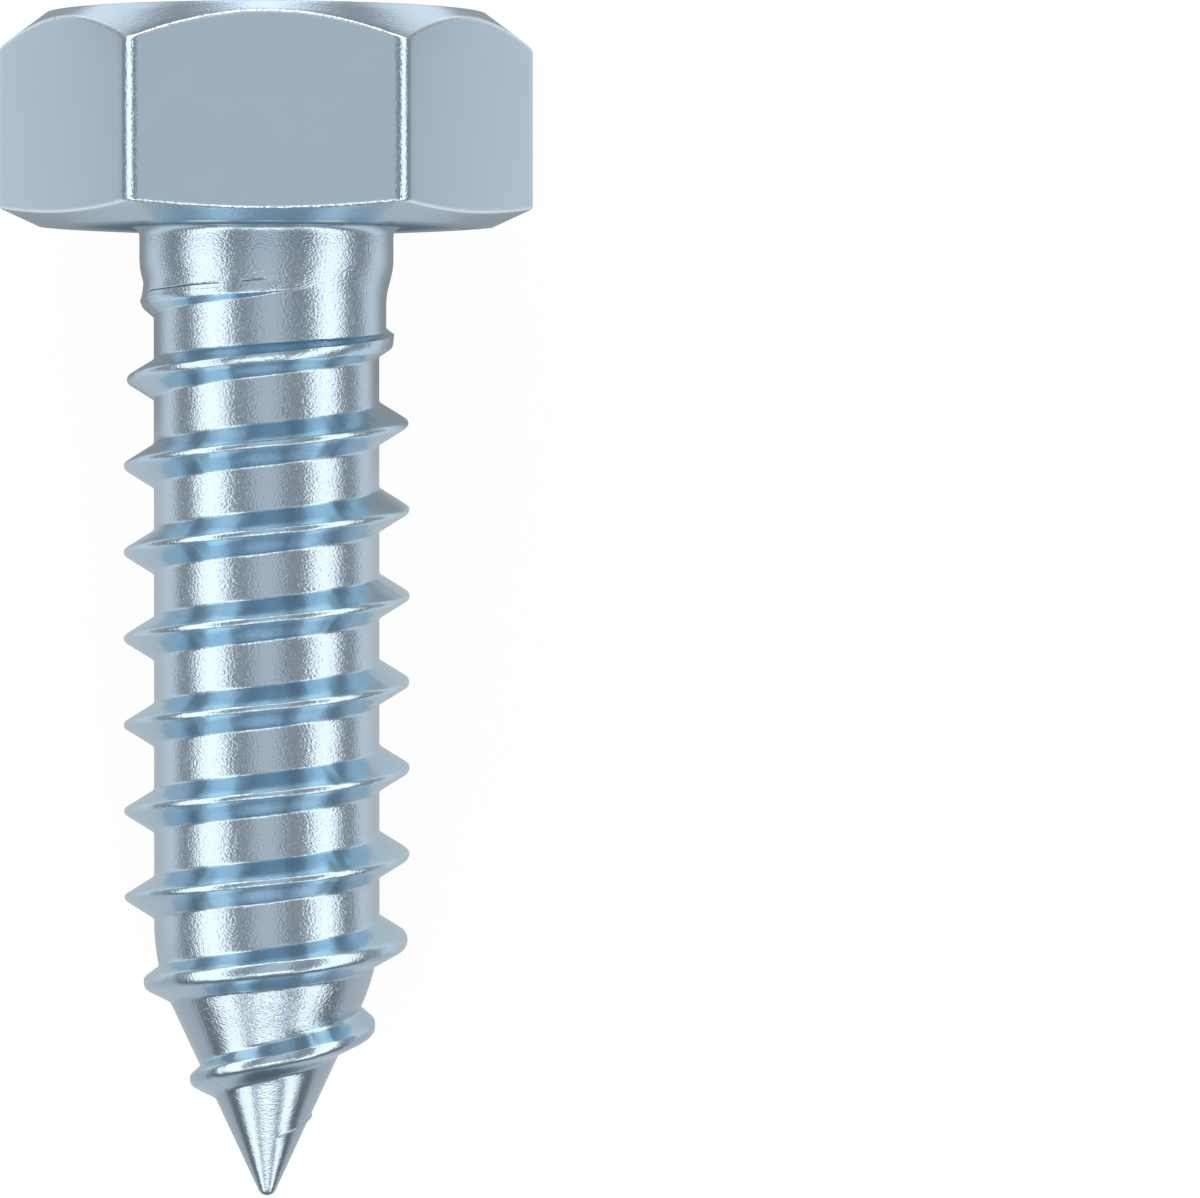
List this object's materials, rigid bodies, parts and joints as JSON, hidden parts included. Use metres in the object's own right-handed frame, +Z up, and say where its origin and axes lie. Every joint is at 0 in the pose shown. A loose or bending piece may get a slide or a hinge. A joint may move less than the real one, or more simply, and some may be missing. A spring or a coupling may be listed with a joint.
{
  "type": "hex head sheet metal screw",
  "caption": "Zinc-plated hexagon head tapping screw with a plain under-face, a coarse right-hand thread and a cone point, for fixing sheet metal.",
  "frame": {"origin": "centre of the bearing face under the head, on the screw's axis", "axes": "+Z is up as the screw lies on a table on one flat of its head; the head points to +Y and the point to -Y, with the axis in the YZ plane and dipping 7.29 degrees towards the point; +X runs across the head's corners"},
  "size_m": [0.0114, 0.0257, 0.0104],
  "materials": {
    "zinc_plated_steel": "satin zinc plating with a blue tint"
  },
  "bodies": {
    "root": {"screw": "zinc_plated_steel"}
  },
  "joints": []
}
